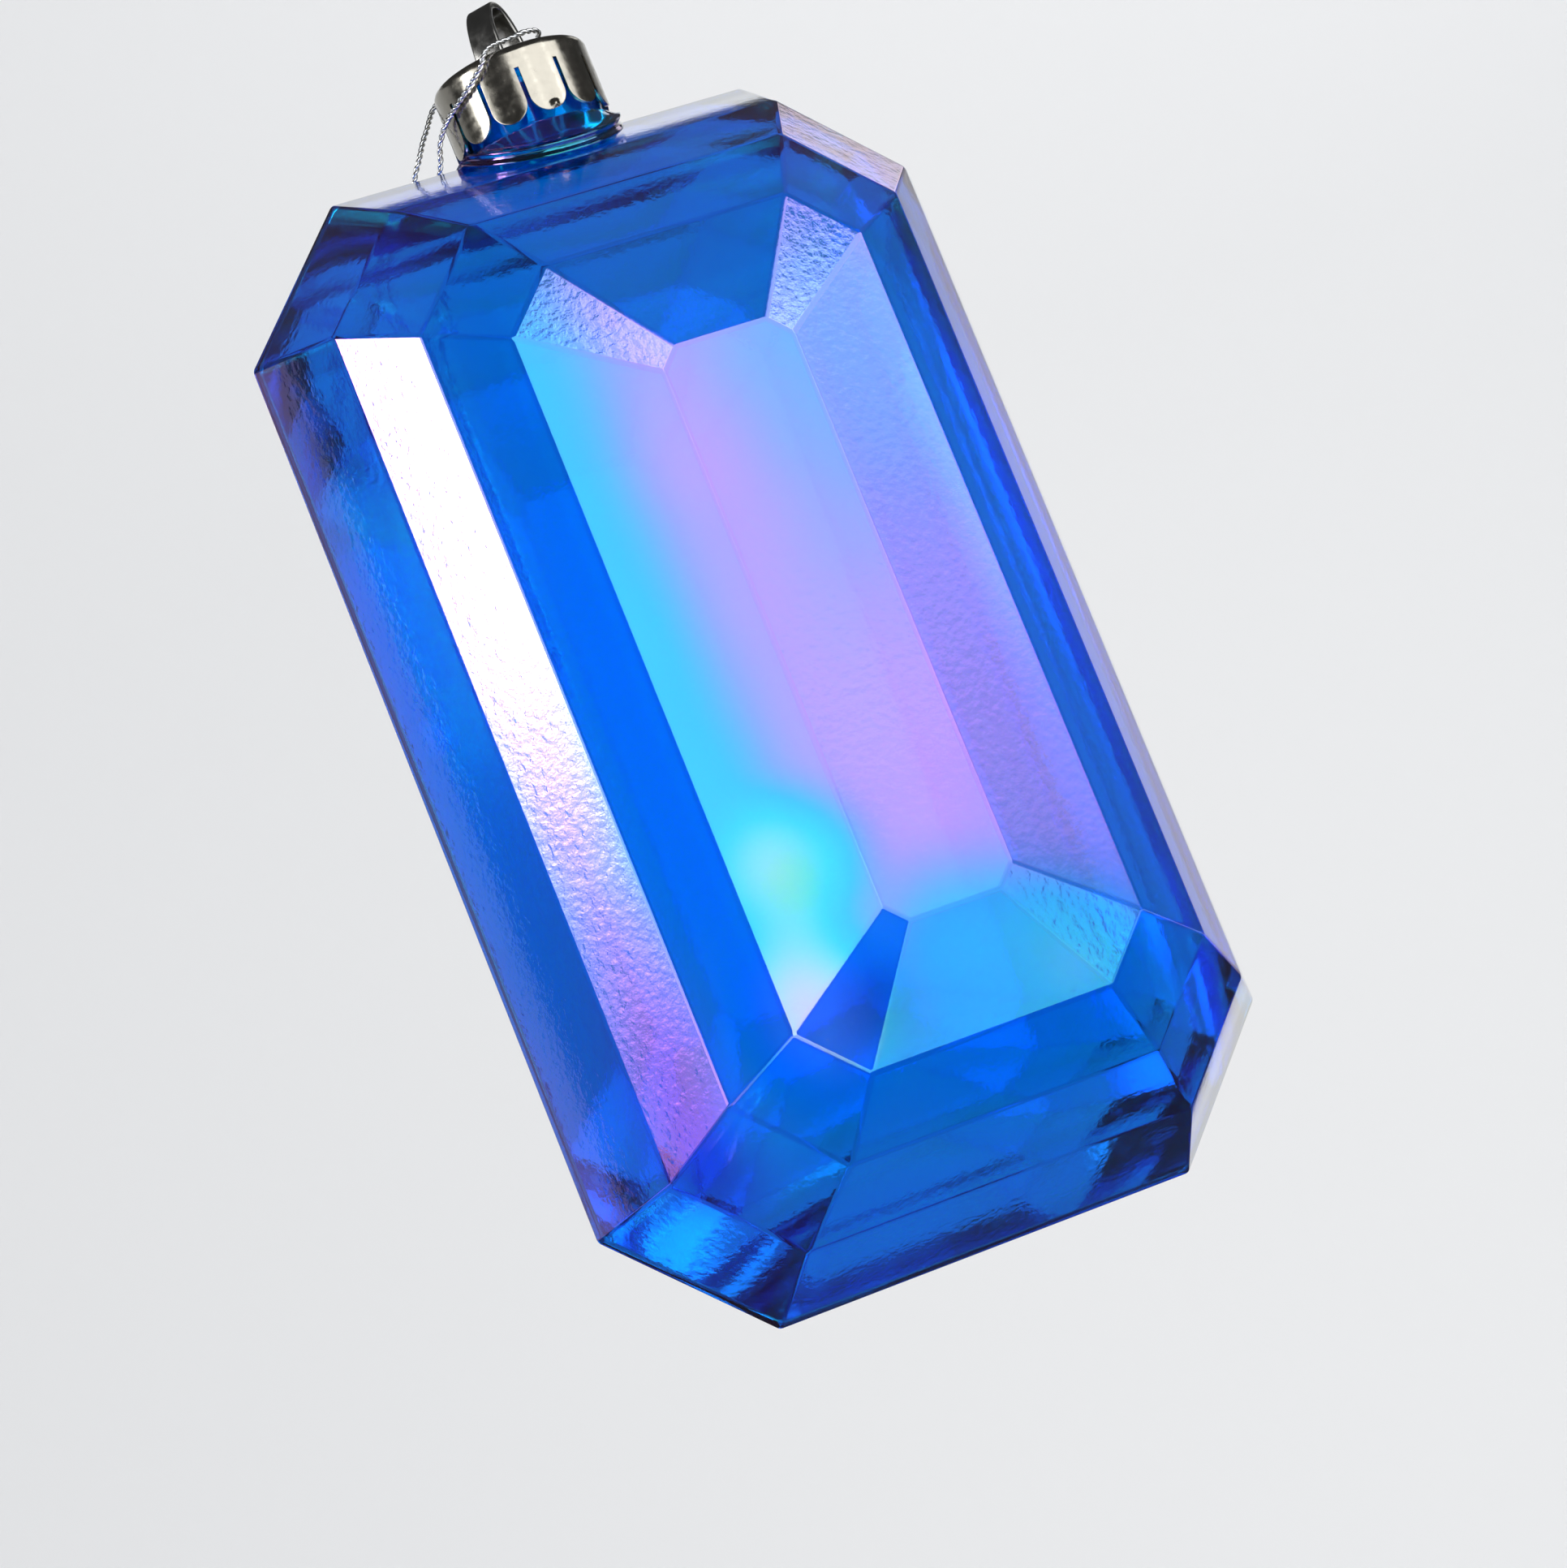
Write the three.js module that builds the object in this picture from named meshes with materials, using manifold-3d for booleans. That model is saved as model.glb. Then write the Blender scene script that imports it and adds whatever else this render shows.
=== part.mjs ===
// A step-cut jewel ornament: a hollow faceted body moulded in two shells, a neck collar, a petalled metal
// cap with a strap loop through its top, and a thin cord threaded through the loop.
// Millimetres, +Z up, front towards -Y. The origin is where a hook bears, inside the top of the loop.
import * as THREE from "three";
import { ConvexGeometry } from "three/addons/geometries/ConvexGeometry.js";
import { mergeVertices } from "three/addons/utils/BufferGeometryUtils.js";
import Module from "manifold-3d";

const wasm = await Module();
wasm.setup();

// Clearances
const gap = 0.3; // between pieces that touch
const overcut = 1; // how far a cutting solid runs past what it cuts

// Faceted body
const bodyWidth = 94;
const bodyHeight = 152.4;
const bodyDepth = 64.6;
const bodyCorner = 17.7; // what the 45 degree corners take off the outline
const tableWidth = 17.8; // the flat face in the middle of the front and of the back
const tableHeight = 75.8;
const tableCorner = 2.7;
const bodyWall = 1.6;
// Each ring of edges, as shares of the way from the widest outline to the table.
const steps = [
  { inset: 0, corner: 0, depth: 0 },
  { inset: 0.174, corner: 0.293, depth: 0.421 },
  { inset: 0.363, corner: 0.407, depth: 0.724 },
  { inset: 0.597, corner: 0.673, depth: 0.889 },
  { inset: 1, corner: 1, depth: 1 },
];

// Cap
const capRadius = 10.4;
const capSheet = 0.5;
const capHeight = 9.9;
const capRimRound = 1.1;
const petalTipsAboveRidge = 1.2; // the petal tips over the body's top edge
const petalCount = 12;
const petalSlotWidth = 0.6;
const petalSlotStart = 3.2; // below the cap's top face
const firstSlotAngle = 14; // degrees from +X

// Neck collar
const neckClearance = 0.4; // between the spigot and the petals
const neckWall = 2.1;
const neckLipRadius = 11.3;
const neckFootRadius = 11.1;
const neckGroove = 0.4; // depth of the groove between the foot and the lip
const neckFootHeight = 0.9; // these three are heights over the body's sloping top facets
const neckLipHeight = 2.2;
const neckFlareHeight = 6.2;
const neckEdge = 0.06; // what is left of each height at the ridge, where the foot is thinnest

// Strap loop
const loopSpan = 8.4; // outside the legs
const loopRise = 8.8; // above the cap's top face
const loopThickness = 1;
const loopWidth = 3.9;
const loopFoot = 2; // how far each clinched foot turns out under the cap
const loopTurn = 45; // degrees that the strap is turned from the front face
const loopSquareness = 2.3; // 2 is an ellipse, more is squarer

// Cord and its knot
const cordDiameter = 0.8;
const cordSides = 8;
const cordSteps = 84;
const knotRadius = 1.7;
const knotLength = 4.4;
const knotPlace = [-14, 33.2, -79]; // its middle, just below the cord's two ends
const tailLength = 6;
const tailRadius = 1;

// Levels, from the hook point down
const capTopZ = loopThickness - loopRise;
const ridgeZ = capTopZ - capHeight - petalTipsAboveRidge;
const bodyZ = ridgeZ - bodyHeight / 2;
const spigotTopZ = capTopZ - capSheet - gap;
const spigotRadius = capRadius - capSheet - neckClearance;
const neckBore = spigotRadius - neckWall;

const radians = THREE.MathUtils.degToRad;

// Booleans

function toSolid(geometry) {
  const bare = geometry.index ? geometry.toNonIndexed() : geometry.clone();
  bare.deleteAttribute("normal");
  bare.deleteAttribute("uv");
  const merged = mergeVertices(bare, 1e-4);
  return new wasm.Manifold(
    new wasm.Mesh({
      numProp: 3,
      vertProperties: merged.attributes.position.array,
      triVerts: new Uint32Array(merged.index.array),
    }),
  );
}

function toGeometry(solid) {
  const mesh = solid.getMesh();
  const geometry = new THREE.BufferGeometry();
  geometry.setAttribute("position", new THREE.BufferAttribute(mesh.vertProperties, 3));
  geometry.setIndex(new THREE.BufferAttribute(mesh.triVerts, 1));
  geometry.computeVertexNormals();
  return geometry;
}

// Faceted body

// One ring of the step cut: half sizes, corner cut and depth from the middle plane.
function ringAt(step) {
  const mix = THREE.MathUtils.lerp;
  return {
    halfWidth: mix(bodyWidth / 2, tableWidth / 2, step.inset),
    halfHeight: mix(bodyHeight / 2, tableHeight / 2, step.inset),
    corner: mix(bodyCorner, tableCorner, step.corner),
    depth: (bodyDepth / 2) * step.depth,
  };
}

const outerRings = steps.map(ringAt);

// How far the wall's thickness moves one ring: to where the inner faces of the two facets meet.
function wallShift(key, index) {
  const outward = (a, b) => new THREE.Vector2(b.depth - a.depth, a[key] - b[key]).normalize();
  const at = outerRings[index];
  const after = outerRings[index + 1] ?? { [key]: at[key] - 1, depth: at.depth };
  const next = outward(at, after);
  // The widest ring's mirror image meets it at the middle plane.
  const last = index === 0 ? new THREE.Vector2(next.x, -next.y) : outward(outerRings[index - 1], at);
  const miter = bodyWall / (1 + last.dot(next));
  return last.add(next).multiplyScalar(miter);
}

function innerRing(ring, index) {
  const across = wallShift("halfWidth", index);
  const along = wallShift("halfHeight", index);
  const shrink = (across.x + along.x) / 2;
  return {
    halfWidth: ring.halfWidth - across.x,
    halfHeight: ring.halfHeight - along.x,
    corner: ring.corner - shrink * (2 - Math.SQRT2),
    depth: ring.depth - (across.y + along.y) / 2,
  };
}

function octagon(ring, side) {
  const { halfWidth: w, halfHeight: h, corner: c } = ring;
  const y = side * ring.depth;
  const quarter = [
    [w, h - c],
    [w - c, h],
  ];
  return quarter.flatMap(([x, z]) => [
    new THREE.Vector3(x, y, z + bodyZ),
    new THREE.Vector3(-x, y, z + bodyZ),
    new THREE.Vector3(x, y, bodyZ - z),
    new THREE.Vector3(-x, y, bodyZ - z),
  ]);
}

// Half of the body, from the middle plane to the table on one side.
function halfHull(rings, side, from) {
  const first = { ...rings[0], depth: from };
  const points = [first, ...rings.slice(1)].flatMap((ring) => octagon(ring, side));
  return toSolid(new ConvexGeometry(points));
}

function neckHole() {
  const reach = ridgeZ - roofZ(neckBore) + 2 * bodyWall;
  const hole = new THREE.CylinderGeometry(neckBore, neckBore, 2 * reach, 48);
  hole.rotateX(Math.PI / 2);
  hole.translate(0, 0, ridgeZ);
  return toSolid(hole);
}

function shell(side) {
  const innerRings = outerRings.map(innerRing);
  const outside = halfHull(outerRings, side, gap / 2);
  const inside = halfHull(innerRings, side, -overcut);
  return toGeometry(outside.subtract(inside).subtract(neckHole()));
}

// Height of the body's top facets at a distance in front of or behind the ridge.
function roofZ(y) {
  const away = Math.abs(y);
  const outer = outerRings.findIndex((ring) => ring.depth >= away);
  const b = outerRings[Math.max(1, outer)];
  const a = outerRings[Math.max(1, outer) - 1];
  const share = (away - a.depth) / (b.depth - a.depth);
  return bodyZ + THREE.MathUtils.lerp(a.halfHeight, b.halfHeight, share);
}

// Neck collar: a round spigot over a flared foot, which is thin at the ridge and follows the facets' slope.
// Each level is a ring with the height it rests at beside the ridge and its height over the facets.
function neckCollar() {
  const restZ = ridgeZ + gap;
  const levels = [
    { radius: neckBore, rest: restZ, above: gap },
    { radius: neckFootRadius, rest: restZ, above: gap },
    { radius: neckFootRadius, rest: restZ + neckEdge, above: neckFootHeight },
    { radius: neckFootRadius - neckGroove, rest: restZ + 1.5 * neckEdge, above: neckFootHeight + neckGroove },
    { radius: neckLipRadius, rest: restZ + 2 * neckEdge, above: neckLipHeight - neckGroove },
    { radius: neckLipRadius, rest: restZ + 3 * neckEdge, above: neckLipHeight },
  ];
  const flareSteps = 6;
  for (let i = 1; i <= flareSteps; i++) {
    const turn = (Math.PI / 2) * (i / flareSteps);
    levels.push({
      radius: neckLipRadius - (neckLipRadius - spigotRadius) * Math.sin(turn),
      rest: restZ + 3 * neckEdge + (2 * neckEdge * i) / flareSteps,
      above: neckLipHeight + (neckFlareHeight - neckLipHeight) * (1 - Math.cos(turn)),
    });
  }
  levels.push({ radius: spigotRadius, rest: spigotTopZ, above: Infinity });
  levels.push({ radius: neckBore, rest: spigotTopZ, above: Infinity });
  levels.push(levels[0]);
  const profile = levels.map((level) => new THREE.Vector2(level.radius, level.rest));
  const collar = new THREE.LatheGeometry(profile, 64);
  collar.rotateX(Math.PI / 2);
  const place = collar.attributes.position;
  for (let i = 0; i < place.count; i++) {
    const level = levels[i % levels.length];
    place.setZ(i, Math.min(level.rest, roofZ(place.getY(i)) + level.above));
  }
  return collar;
}

// Cap

// What is taken out between two petals: a straight slot that opens out round their tips.
function petalCutter() {
  const halfPitch = capRadius * Math.sin(Math.PI / petalCount);
  const tipRadius = halfPitch - petalSlotWidth / 2;
  const tipZ = tipRadius - capHeight;
  const cut = new THREE.Shape();
  cut.moveTo(-petalSlotWidth / 2, -petalSlotStart);
  cut.lineTo(-petalSlotWidth / 2, tipZ);
  cut.absarc(-halfPitch, tipZ, tipRadius, 0, -Math.PI / 2, true);
  cut.lineTo(-halfPitch, -capHeight - overcut);
  cut.lineTo(halfPitch, -capHeight - overcut);
  cut.lineTo(halfPitch, -capHeight);
  cut.absarc(halfPitch, tipZ, tipRadius, -Math.PI / 2, -Math.PI, true);
  cut.lineTo(petalSlotWidth / 2, -petalSlotStart);
  cut.closePath();
  const reach = 4 * capSheet;
  const cutter = new THREE.ExtrudeGeometry(cut, { depth: reach, bevelEnabled: false, curveSegments: 6 });
  cutter.rotateX(Math.PI / 2);
  cutter.rotateZ(Math.PI / 2);
  cutter.translate(capRadius + overcut - reach, 0, capTopZ);
  return cutter;
}

function loopSlots() {
  const legMiddle = (loopSpan - loopThickness) / 2;
  return [-1, 1].map((side) => {
    const slot = new THREE.BoxGeometry(loopThickness + 2 * gap, loopWidth + 2 * gap, 4 * capSheet);
    slot.translate(side * legMiddle, 0, capTopZ);
    slot.rotateZ(radians(loopTurn));
    return toSolid(slot);
  });
}

function cap() {
  const innerRadius = capRadius - capSheet;
  const rimCentre = new THREE.Vector2(capRadius - capRimRound, capTopZ - capRimRound);
  const profile = [
    new THREE.Vector2(0, capTopZ - capSheet),
    new THREE.Vector2(rimCentre.x, capTopZ - capSheet),
    new THREE.Vector2(innerRadius, rimCentre.y),
    new THREE.Vector2(innerRadius, capTopZ - capHeight),
    new THREE.Vector2(capRadius, capTopZ - capHeight),
  ];
  const roundSteps = 5;
  for (let i = 0; i <= roundSteps; i++) {
    const turn = (Math.PI / 2) * (i / roundSteps);
    const x = rimCentre.x + capRimRound * Math.cos(turn);
    profile.push(new THREE.Vector2(x, rimCentre.y + capRimRound * Math.sin(turn)));
  }
  profile.push(new THREE.Vector2(0, capTopZ));
  const turned = new THREE.LatheGeometry(profile, 72);
  turned.rotateX(Math.PI / 2);
  let made = toSolid(turned);
  for (let i = 0; i < petalCount; i++) {
    const cutter = petalCutter();
    cutter.rotateZ(radians(firstSlotAngle) + (2 * Math.PI * i) / petalCount);
    made = made.subtract(toSolid(cutter));
  }
  for (const slot of loopSlots()) made = made.subtract(slot);
  return toGeometry(made);
}

// Strap loop: an arch whose legs pass through the cap's top and are clinched outwards beneath it.
function hangingLoop() {
  const bend = (half, rise) => {
    const points = [];
    const count = 24;
    for (let i = 0; i <= count; i++) {
      const turn = Math.PI * (1 - i / count);
      const across = Math.sign(Math.cos(turn)) * Math.abs(Math.cos(turn)) ** (2 / loopSquareness);
      points.push(new THREE.Vector2(half * across, rise * Math.sin(turn) ** (2 / loopSquareness)));
    }
    return points;
  };
  const outerHalf = loopSpan / 2;
  const innerHalf = outerHalf - loopThickness;
  const footTop = -capSheet - gap;
  const footBottom = footTop - loopThickness;
  const outline = [
    new THREE.Vector2(-outerHalf - loopFoot, footBottom),
    new THREE.Vector2(-outerHalf - loopFoot, footTop),
    new THREE.Vector2(-outerHalf, footTop),
    ...bend(outerHalf, loopRise),
    new THREE.Vector2(outerHalf, footTop),
    new THREE.Vector2(outerHalf + loopFoot, footTop),
    new THREE.Vector2(outerHalf + loopFoot, footBottom),
    new THREE.Vector2(innerHalf, footBottom),
    ...bend(innerHalf, loopRise - loopThickness).reverse(),
    new THREE.Vector2(-innerHalf, footBottom),
  ];
  const strap = new THREE.ExtrudeGeometry(new THREE.Shape(outline), {
    depth: loopWidth,
    bevelEnabled: false,
  });
  strap.translate(0, 0, -loopWidth / 2);
  strap.rotateX(Math.PI / 2);
  strap.rotateZ(radians(loopTurn));
  strap.translate(0, 0, capTopZ);
  return strap;
}

// Cord: from the knot behind the body one strand goes up the back and over the top, behind the cap and through
// the loop. It turns round the loop's near leg and comes down over the cap's front and the back again.
const cordRoute = [
  [-14.8, 31.8, -76.5],
  [-15.2, 31.7, -66.5],
  [-15.5, 31.6, -57.2],
  [-15.8, 30.8, -49.5],
  [-16.1, 29.6, -41.8],
  [-16.5, 24.5, -32.8],
  [-16.8, 15.2, -25.6],
  [-16.9, 8.8, -22.2],
  [-16.6, 5.4, -19.4],
  [-15.7, 4.4, -17],
  [-14.2, 4.3, -14.8],
  [-12.7, 5, -12.7],
  [-11.2, 5.6, -10.9],
  [-8.6, 6.9, -8],
  [-6, 5.4, -6.9],
  [-2.8, 2.8, -6.8],
  [0.4, -0.2, -6.8],
  [2.6, -2.2, -6.6],
  [3.7, -4.3, -6.3],
  [3.2, -6.3, -6],
  [1.2, -7.3, -6],
  [-1.5, -7.5, -6.4],
  [-4, -8.2, -6.9],
  [-5.7, -9.1, -7.8],
  [-6.8, -8.9, -9.3],
  [-9, -6.6, -11.2],
  [-10.7, -3.1, -12.5],
  [-11.3, -0.4, -13.2],
  [-12, 1.6, -14.8],
  [-12.6, 2.2, -16.9],
  [-13.5, 4.6, -19.6],
  [-13.9, 8.8, -22.2],
  [-13.9, 15.2, -25.6],
  [-13.8, 24.5, -32.8],
  [-13.6, 29.6, -41.8],
  [-13.5, 31.1, -49.5],
  [-13.4, 32.1, -57.2],
  [-13.3, 32.1, -66.5],
  [-13.2, 32.1, -76.5],
];

function cord() {
  const section = new THREE.Shape();
  for (let i = 0; i < cordSides; i++) {
    const turn = (2 * Math.PI * i) / cordSides;
    const x = (cordDiameter / 2) * Math.cos(turn);
    const y = (cordDiameter / 2) * Math.sin(turn);
    if (i === 0) section.moveTo(x, y);
    else section.lineTo(x, y);
  }
  section.closePath();
  return new THREE.ExtrudeGeometry(section, {
    steps: cordSteps,
    extrudePath: new THREE.CatmullRomCurve3(cordRoute.map((place) => new THREE.Vector3(...place))),
  });
}

// The knot that joins the cord's two ends, with the short tails below it.
function cordKnot() {
  const barrel = [new THREE.Vector2(0, -knotLength / 2)];
  const barrelSteps = 8;
  for (let i = 1; i < barrelSteps; i++) {
    const turn = Math.PI * (i / barrelSteps);
    const radius = knotRadius * Math.sin(turn) ** 0.6;
    barrel.push(new THREE.Vector2(radius, (-knotLength / 2) * Math.cos(turn)));
  }
  barrel.push(new THREE.Vector2(0, knotLength / 2));
  const knot = new THREE.LatheGeometry(barrel, 16);
  const tails = new THREE.CylinderGeometry(tailRadius, tailRadius, tailLength, 12);
  tails.translate(0, -tailLength / 2, 0);
  const joined = toGeometry(toSolid(knot).add(toSolid(tails)));
  joined.rotateX(Math.PI / 2);
  return joined;
}

// Materials
const film = new THREE.MeshStandardMaterial({ color: 0x1f7fe0, roughness: 0.08, metalness: 0.35 });
const chrome = new THREE.MeshStandardMaterial({ color: 0xd8d6cf, roughness: 0.12, metalness: 1 });
const thread = new THREE.MeshStandardMaterial({ color: 0xc9ccd0, roughness: 0.35, metalness: 0.9 });

function piece(name, geometry, material) {
  const mesh = new THREE.Mesh(geometry, material.clone());
  mesh.name = name;
  return mesh;
}

const jewel = new THREE.Group();
jewel.add(piece("front_shell", shell(-1), film));
jewel.add(piece("back_shell", shell(1), film));
jewel.add(piece("neck_collar", neckCollar(), film));

const hanger = new THREE.Group();
hanger.add(piece("cap", cap(), chrome));
hanger.add(piece("hanging_loop", hangingLoop(), chrome));
hanger.add(piece("cord", cord(), thread));
const knot = piece("cord_knot", cordKnot(), thread);
knot.position.set(...knotPlace);
hanger.add(knot);

const ornament = new THREE.Group();
ornament.add(jewel, hanger);

export default ornament;
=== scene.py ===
import math
import bpy
import bmesh
from mathutils import Matrix, Vector


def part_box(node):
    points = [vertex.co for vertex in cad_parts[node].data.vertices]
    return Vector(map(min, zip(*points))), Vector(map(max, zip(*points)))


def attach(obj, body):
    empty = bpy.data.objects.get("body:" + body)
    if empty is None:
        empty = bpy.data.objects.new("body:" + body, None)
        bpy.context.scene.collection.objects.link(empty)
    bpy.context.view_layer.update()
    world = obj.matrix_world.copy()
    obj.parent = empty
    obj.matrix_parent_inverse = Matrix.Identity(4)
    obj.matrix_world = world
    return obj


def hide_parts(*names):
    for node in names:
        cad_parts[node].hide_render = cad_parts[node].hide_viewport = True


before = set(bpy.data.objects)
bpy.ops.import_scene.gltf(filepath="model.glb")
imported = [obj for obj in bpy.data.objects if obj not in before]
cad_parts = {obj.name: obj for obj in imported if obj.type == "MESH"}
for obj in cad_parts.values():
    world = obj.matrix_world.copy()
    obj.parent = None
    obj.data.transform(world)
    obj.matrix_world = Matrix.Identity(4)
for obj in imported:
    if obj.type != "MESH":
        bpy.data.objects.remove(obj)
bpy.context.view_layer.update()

mm = 0.001


def linkSmooth(name, mesh):
    mesh.polygons.foreach_set("use_smooth", [True] * len(mesh.polygons))
    piece = bpy.data.objects.new(name, mesh)
    bpy.context.scene.collection.objects.link(piece)
    return piece


def newObject(name, verts, faces, material):
    mesh = bpy.data.meshes.new(name)
    mesh.from_pydata([tuple(v) for v in verts], [], faces)
    mesh.validate()
    mesh.update()
    mesh.materials.append(material)
    return linkSmooth(name, mesh)


def applyModifiers(piece):
    graph = bpy.context.evaluated_depsgraph_get()
    made = bpy.data.meshes.new_from_object(piece.evaluated_get(graph))
    old = piece.data
    piece.modifiers.clear()
    piece.data = made
    bpy.data.meshes.remove(old)


def faceOutwards(piece):
    shape = bmesh.new()
    shape.from_mesh(piece.data)
    bmesh.ops.recalc_face_normals(shape, faces=shape.faces)
    shape.to_mesh(piece.data)
    shape.free()


# Camera: where it stands and how it is turned, as three directions seen from the object
cameraSettings = {
    "focalLength": 125.56,
    "target": (-1.83 * mm, 0, -107.5 * mm),
    "distance": 0.6889,
    "right": (0.88005, -0.29453, -0.37250),
    "down": (-0.30103, 0.26067, -0.91730),
    "forward": (0.36727, 0.91940, 0.14074),
    "sensor": 36,
    "clip": (0.01, 50),
}


def makeCamera(s):
    data = bpy.data.cameras.new("camera")
    data.lens = s["focalLength"]
    data.sensor_width = s["sensor"]
    data.clip_start, data.clip_end = s["clip"]
    camera = bpy.data.objects.new("camera", data)
    bpy.context.scene.collection.objects.link(camera)
    forward = Vector(s["forward"])
    axes = Matrix((s["right"], -Vector(s["down"]), -forward)).transposed()
    place = Vector(s["target"]) - forward * s["distance"]
    camera.matrix_world = Matrix.Translation(place) @ axes.to_4x4()
    bpy.context.scene.camera = camera
    print("camera placed")


makeCamera(cameraSettings)


# Materials


def nodeMaker(material):
    tree = material.node_tree

    def make(kind, values=(), **settings):
        node = tree.nodes.new(kind)
        for key, value in settings.items():
            setattr(node, key, value)
        for socket, value in dict(values).items():
            if isinstance(value, bpy.types.NodeSocket):
                tree.links.new(value, node.inputs[socket])
            else:
                node.inputs[socket].default_value = value
        return node

    return make


def newMaterial(name):
    material = bpy.data.materials.new(name)
    material.use_nodes = True
    return material, material.node_tree.nodes["Principled BSDF"], nodeMaker(material)


def setShader(shader, values):
    for socket, value in values.items():
        if isinstance(value, bpy.types.NodeSocket):
            shader.id_data.links.new(value, shader.inputs[socket])
        else:
            shader.inputs[socket].default_value = value


# The shells' coating: how thick the interference film is over the body, in nanometres, and what changes it.
# Each patch is a soft round area with its centre and radius in millimetres and what it adds to the film. Each
# spot is painted light mixed into the plastic's tint: the green one a painted reflection, the broad violet
# one a painted shadow of the hand holding it, the small navy one painted shade under that reflection.
jewelFinish = {
    "tint": (0, 0.43, 1, 1),
    # a darker tint for the bevelled facet edges and the seam band: painted shade lines along the edges
    "shadedEdgeTint": (0.01, 0.28, 0.85, 1),
    "roughness": 0.075,
    "ior": 1.7,
    "insideIor": 1.35,
    "coatIor": 1.6,
    "film": 234,
    "filmWaver": 5,
    "waverSize": 28,
    "filmIor": 2.4,
    "coat": 0.6,
    "rippleSize": 900,
    "rippleDepth": 0.1,
    "rippleHeight": 0.4 * mm,
    "flowSize": 60,
    "flowDepth": 0.05,
    "patches": [
        {"centre": (-25, -28, -95), "radius": 17, "adds": 19, "stretch": (1, 1, 0.12)},
        {"centre": (-45, -6, -95), "radius": 15, "adds": 19, "stretch": (1, 1, 0.12)},
        {"centre": (-10, -32, -82), "radius": 16, "adds": -5, "stretch": (1, 1, 0.4)},
        {"centre": (17, -30, -62), "radius": 30, "adds": 11, "stretch": (1, 1, 0.7)},
        {"centre": (2, -32, -114), "radius": 22, "adds": -7, "stretch": (1, 1, 0.8)},
        {"centre": (0, -32, -134), "radius": 16, "adds": 17, "stretch": (0.8, 1, 1.2)},
        {"centre": (6, -30, -148), "radius": 30, "adds": 25, "stretch": (0.7, 1, 1.4)},
        {"centre": (45, -6, -95), "radius": 16, "adds": 20, "stretch": (1, 1, 0.12)},
        {"centre": (-16, -30, -122), "radius": 13, "adds": 31, "stretch": (0.9, 1, 0.9)},
        {"centre": (-20, -29, -139), "radius": 15, "adds": 46, "stretch": (1, 1, 0.9)},
        {"centre": (-37, -18, -150), "radius": 38, "adds": -11, "stretch": (1.6, 1, 1)},
        {"centre": (15, -30, -141), "radius": 16, "adds": 16, "stretch": (1, 1, 1)},
        {"centre": (22, -29, -128), "radius": 30, "adds": -6, "stretch": (1.8, 1, 0.8)},
    ],
    # painted light in the tint: the green spot is a painted reflection, the violet one a painted shadow of a
    # hand, the navy one painted shade under that reflection
    "paintedLightSpots": [
        {"centre": (-17, -30, -124), "radius": 12, "tint": (0.02, 0.7, 0.25, 1), "stretch": (1, 1, 1)},
        {"centre": (-37, -18, -152), "radius": 48, "tint": (0.12, 0.05, 0.55, 1), "stretch": (4, 4, 1)},
        {"centre": (-13, -30, -141), "radius": 10, "tint": (0.01, 0.12, 0.45, 1), "stretch": (1, 1, 1)},
    ],
}


# A fade from a value in the middle of a patch or spot to nothing at its rim
def fadeFrom(make, place, area, inside):
    away = make("ShaderNodeVectorMath", {0: place, 1: Vector(area["centre"]) * mm}, operation="SUBTRACT")
    scaled = make("ShaderNodeVectorMath", {0: away.outputs[0], 1: area["stretch"]}, operation="MULTIPLY")
    reach = make("ShaderNodeVectorMath", {0: scaled.outputs[0]}, operation="LENGTH")
    fade = make(
        "ShaderNodeMapRange",
        {"Value": reach.outputs["Value"], "From Min": 0, "From Max": area["radius"] * mm,
         "To Min": inside, "To Max": 0},
        interpolation_type="SMOOTHERSTEP",
    )
    return fade.outputs[0]


def filmThickness(make, s):
    place = make("ShaderNodeTexCoord").outputs["Object"]
    waver = make("ShaderNodeTexNoise", {"Vector": place, "Scale": s["waverSize"], "Detail": 2})
    total = make(
        "ShaderNodeMapRange",
        {"Value": waver.outputs["Fac"], "From Min": 0.2, "From Max": 0.8,
         "To Min": s["film"] - s["filmWaver"], "To Max": s["film"] + s["filmWaver"]},
    ).outputs[0]
    for patch in s["patches"]:
        adds = fadeFrom(make, place, patch, patch["adds"])
        total = make("ShaderNodeMath", {0: total, 1: adds}, operation="ADD").outputs[0]
    return place, total


# Mixes the spots of painted reflection and painted shade into the plastic's tint.
def tintWithPaintedLight(make, place, s):
    colour = s["tint"]
    for paintedSpot in s["paintedLightSpots"]:
        blend = {0: fadeFrom(make, place, paintedSpot, 1), 6: colour, 7: paintedSpot["tint"]}
        colour = make("ShaderNodeMix", blend, data_type="RGBA").outputs[2]
    return colour


def makeJewelMaterial(name, s):
    material, shader, make = newMaterial(name)
    place, film = filmThickness(make, s)
    ripple = make("ShaderNodeTexNoise", {"Vector": place, "Scale": s["rippleSize"], "Detail": 3})
    bump = make(
        "ShaderNodeBump",
        {"Height": ripple.outputs["Fac"], "Strength": s["rippleDepth"], "Distance": s["rippleHeight"]},
    )
    setShader(shader, {
        "Base Color": tintWithPaintedLight(make, place, s),
        "Roughness": s["roughness"],
        "IOR": s["ior"],
        "Transmission Weight": 1,
        "Coat Weight": s["coat"],
        "Coat IOR": s["coatIor"],
        "Coat Roughness": s["roughness"],
        "Thin Film Thickness": film,
        "Thin Film IOR": s["filmIor"],
        "Normal": bump.outputs[0],
    })
    return material


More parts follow.
